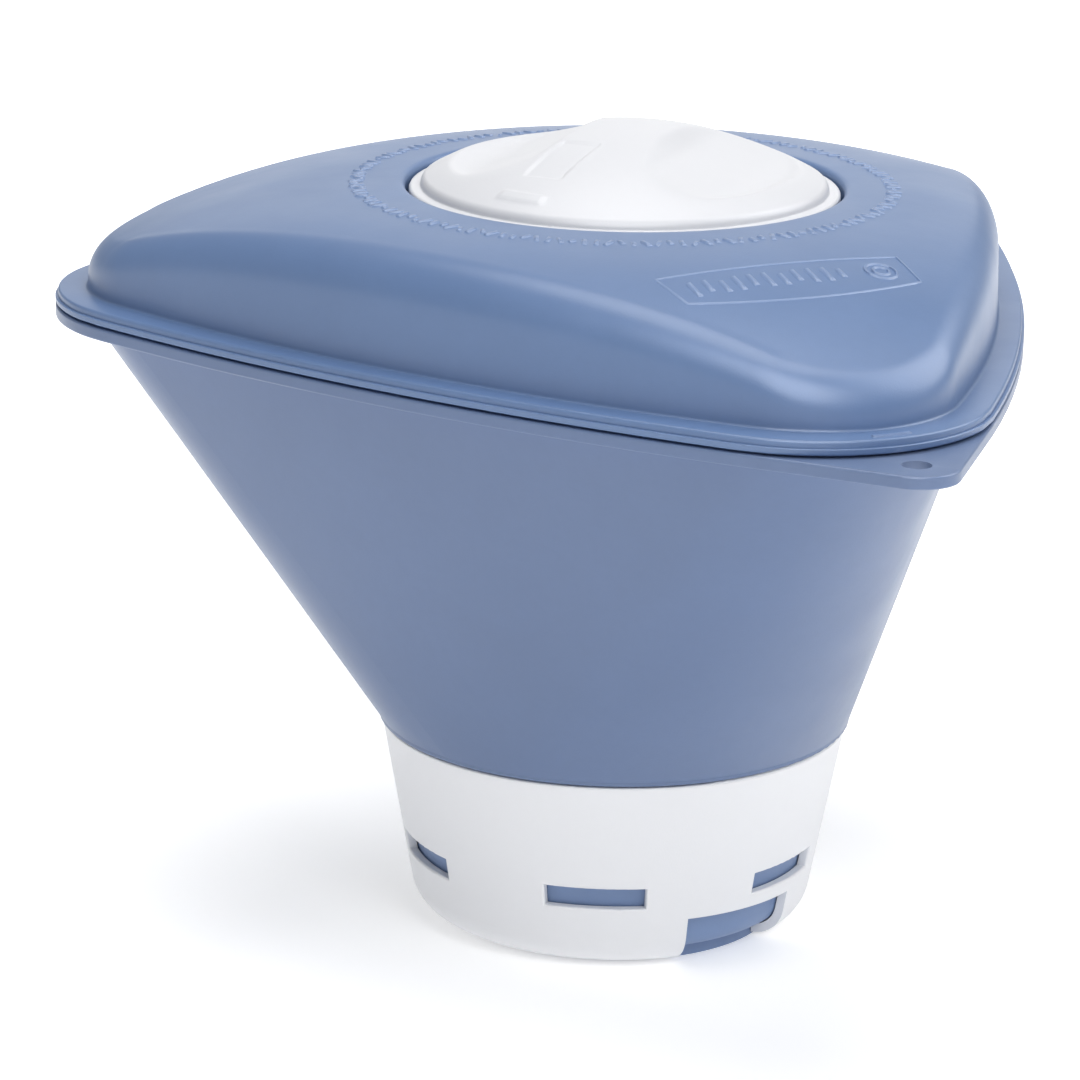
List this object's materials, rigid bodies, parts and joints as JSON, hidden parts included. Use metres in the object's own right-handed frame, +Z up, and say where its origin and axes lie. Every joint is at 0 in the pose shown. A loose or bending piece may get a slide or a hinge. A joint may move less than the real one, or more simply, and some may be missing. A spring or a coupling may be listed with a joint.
{
  "type": "floating chlorine dispenser",
  "caption": "Floating tablet dispenser: rounded-triangular float with a twist cap on top, a tablet chamber through it and a turning slotted dosing ring below.",
  "frame": {"origin": "centre of the foot's bottom face, on the axis of the tablet chamber", "axes": "+Z up along the chamber's axis; the corner with the tether tab points along -Y; the float is mirror-symmetric about the YZ plane"},
  "size_m": [0.223, 0.2254, 0.1763],
  "materials": {
    "float_plastic": "satin",
    "cup_plastic": "satin",
    "tube_plastic": "satin",
    "white_plastic": "satin",
    "seal_rubber": "matte"
  },
  "bodies": {
    "float": {"hull_shell": "float_plastic", "deck_shell": "float_plastic", "seam_seal": "seal_rubber", "tablet_tube": "tube_plastic", "tube_top_seal": "seal_rubber", "tube_bottom_seal": "seal_rubber", "vent_cup": "cup_plastic"},
    "dosing_ring": {"dosing_ring": "white_plastic"},
    "cap_seal": {"cap_seal": "seal_rubber"},
    "cap": {"cap": "white_plastic"}
  },
  "joints": [
    {"name": "ring_turn", "type": "hinge", "parent": "float", "child": "dosing_ring", "pos_m": [0, 0, 0.02], "axis": [0, 0, 1], "range_deg": [0, 30]},
    {"name": "cap_lift", "type": "slide", "parent": "float", "child": "cap_seal", "axis": [0, 0, 1], "range_m": [0, 0.1]},
    {"name": "cap_twist", "type": "hinge", "parent": "cap_seal", "child": "cap", "pos_m": [0, 0, 0.16], "axis": [0, 0, 1], "range_deg": [-40, 0]}
  ]
}
